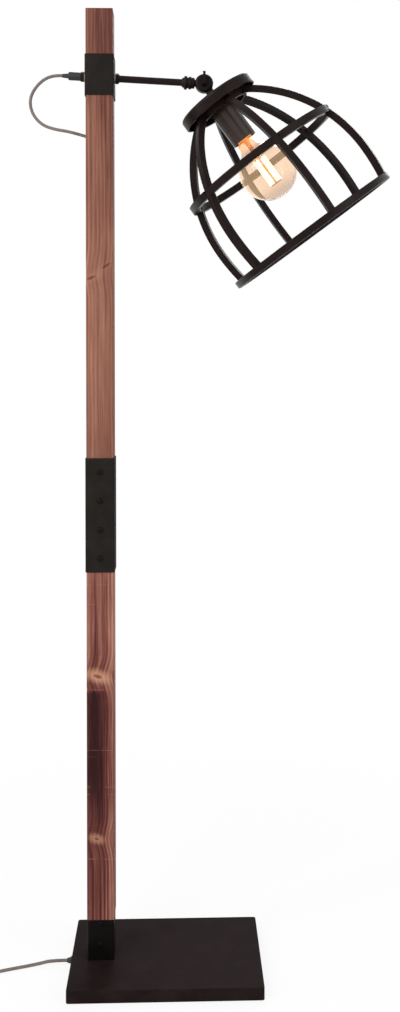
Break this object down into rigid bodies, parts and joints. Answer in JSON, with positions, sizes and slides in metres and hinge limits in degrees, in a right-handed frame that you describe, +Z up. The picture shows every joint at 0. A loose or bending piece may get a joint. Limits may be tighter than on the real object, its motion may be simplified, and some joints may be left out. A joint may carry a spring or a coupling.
{
  "type": "floor lamp",
  "caption": "Floor lamp with a square wooden post on a flat steel base, a short arm, and a tilting domed cage shade of curved bars and rings round a large globe bulb.",
  "frame": {"origin": "centre of the base's underside, on the floor", "axes": "+Z up, +X from the post towards the shade, -Y the side with the screws"},
  "size_m": [0.7655, 0.3022, 1.524],
  "materials": {
    "cage_paint": "satin black-brown powder coat",
    "base_paint": "satin black-brown powder coat",
    "holder_paint": "semi-gloss dark brown paint",
    "ballast_iron": "rough casting",
    "pad_rubber": "matt",
    "plated_steel": "plated",
    "bright_nut": "satin nickel",
    "black_rubber": "matt",
    "gland_black": "satin",
    "wood_lower": "stained and oiled, vertical grain",
    "wood_upper": "stained and oiled, vertical grain",
    "cord_textile": "braided textile",
    "inner_cable": "smooth sheath",
    "ceramic": "glazed",
    "brass": "satin",
    "cap_metal": "satin",
    "clear_glass": "clear, faint amber",
    "filament": "lit",
    "switch_plastic": "black, satin",
    "button_plastic": "black, satin",
    "plug_rubber": "black, moulded",
    "pin_metal": "nickel-plated"
  },
  "bodies": {
    "stand": {"base_cover": "base_paint", "base_ballast": "ballast_iron", "base_pad": "pad_rubber", "base_bolts": "plated_steel", "cord_grommet": "black_rubber", "post_shoe": "cage_paint", "shoe_screws": "cage_paint", "lower_post": "wood_lower", "upper_post": "wood_upper", "joint_sleeve": "cage_paint", "joint_screws": "cage_paint", "top_sleeve": "cage_paint", "post_cable": "inner_cable", "arm_tube": "cage_paint", "arm_washers": "bright_nut", "arm_front_nut": "cage_paint", "arm_back_nut": "cage_paint", "gland_body": "gland_black", "gland_relief": "black_rubber", "upper_cord": "cord_textile", "arm_cable": "inner_cable", "arm_collar": "cage_paint", "arm_knuckle": "cage_paint", "floor_cord": "cord_textile", "switch_base": "switch_plastic", "switch_cover": "switch_plastic", "switch_contacts": "switch_plastic", "coiled_cord": "cord_textile", "plug_body": "plug_rubber", "plug_pins": "pin_metal"},
    "head": {"head_knuckle": "cage_paint", "pivot_nut": "plated_steel", "neck_nipple": "brass", "neck_nut": "plated_steel", "canopy": "cage_paint", "cage_hub": "cage_paint", "cage_bar_1": "cage_paint", "cage_bar_2": "cage_paint", "cage_bar_3": "cage_paint", "cage_bar_4": "cage_paint", "cage_bar_5": "cage_paint", "cage_bar_6": "cage_paint", "cage_mid_ring": "cage_paint", "cage_bottom_ring": "cage_paint", "holder_cap": "holder_paint", "holder_skirt": "holder_paint", "holder_insert": "ceramic", "screw_shell": "brass", "centre_contact": "brass", "head_cable": "inner_cable"},
    "thumbscrew": {"thumbscrew": "cage_paint"},
    "bulb": {"bulb_glass": "clear_glass", "bulb_cap": "cap_metal", "bulb_stem": "clear_glass", "bulb_filaments": "filament"},
    "button": {"switch_button": "button_plastic"}
  },
  "joints": [
    {"name": "head_tilt", "type": "hinge", "parent": "stand", "child": "head", "pos_m": [0.06327, 0, 1.41049], "axis": [0, -1, 0], "range_deg": [-33, 54]},
    {"name": "thumbscrew_turn", "type": "hinge", "parent": "stand", "child": "thumbscrew", "pos_m": [0.06327, 0, 1.41049], "axis": [0, -1, 0], "range_deg": [0, 180]},
    {"name": "bulb_turn", "type": "hinge", "parent": "head", "child": "bulb", "pos_m": [0.13414, 0, 1.31365], "axis": [0.5906, 0, -0.807], "range_deg": [0, 360]},
    {"name": "button_press", "type": "slide", "parent": "stand", "child": "button", "axis": [0, 0, -1], "range_m": [0, 0.0025], "stiffness_N_per_m": 500, "springref_m": -0.002}
  ]
}
